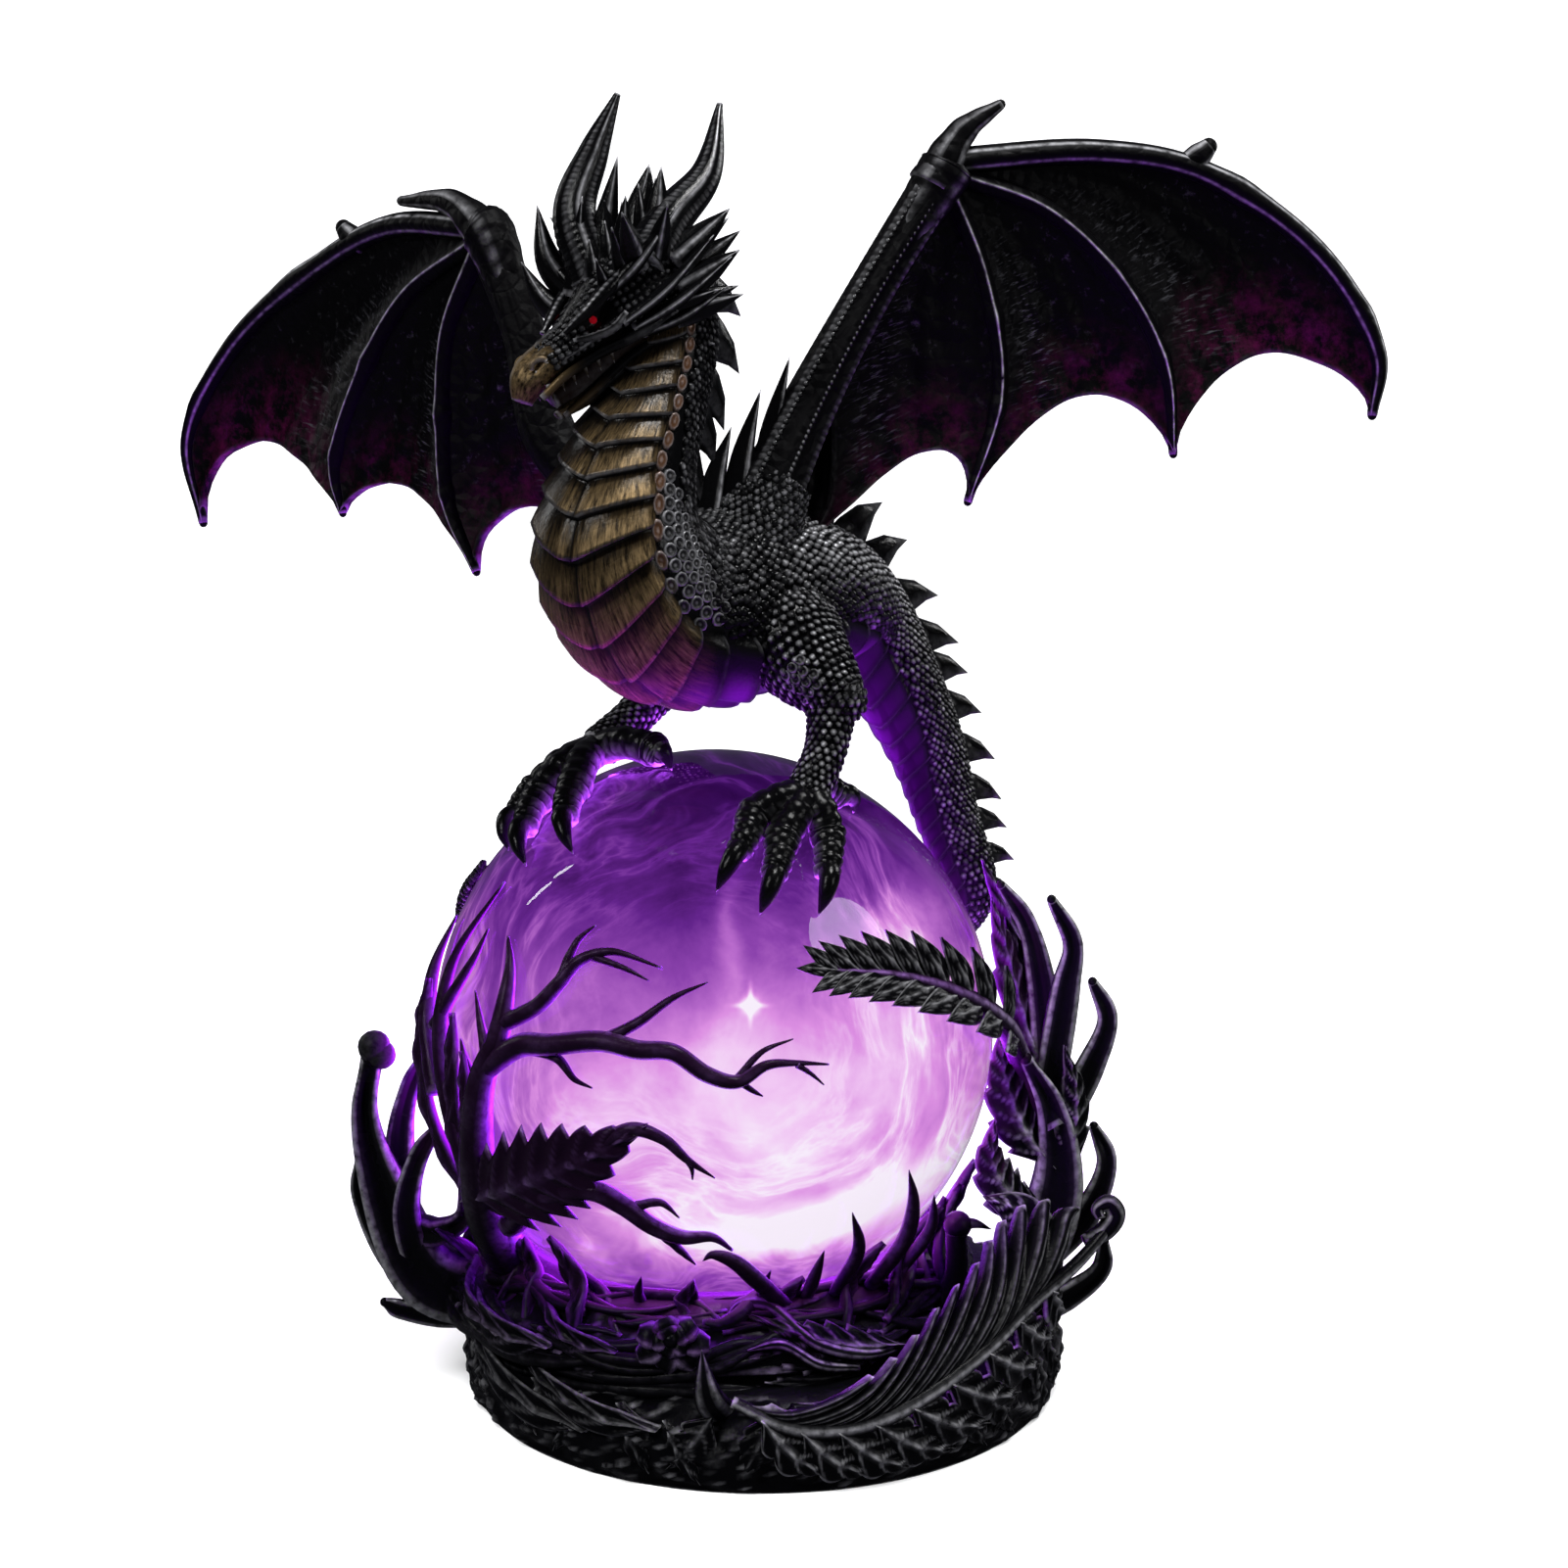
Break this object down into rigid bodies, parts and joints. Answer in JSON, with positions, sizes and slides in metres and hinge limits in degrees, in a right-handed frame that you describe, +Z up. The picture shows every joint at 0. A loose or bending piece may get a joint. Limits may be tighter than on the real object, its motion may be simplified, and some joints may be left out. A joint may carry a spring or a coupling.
{
  "type": "dragon statue",
  "caption": "Table statue of a two-legged winged dragon perched on a violet glass ball, which sits in a round base of cast leaves and branches.",
  "frame": {"origin": "middle of the base's flat underside", "axes": "+Z up, -Y towards the front that the statue is seen from, +X to the viewer's right"},
  "size_m": [0.1853, 0.1105, 0.183],
  "materials": {
    "dragon_resin": "black cast resin, dry-brushed silver on raised edges, with antique gold belly plates and beak",
    "violet_glass": "clear glass over a glowing violet and pink cloud",
    "base_resin": "black cast resin, lightly dry-brushed on raised edges"
  },
  "bodies": {
    "root": {"dragon": "dragon_resin", "crystal_ball": "violet_glass", "base": "base_resin"}
  },
  "joints": []
}
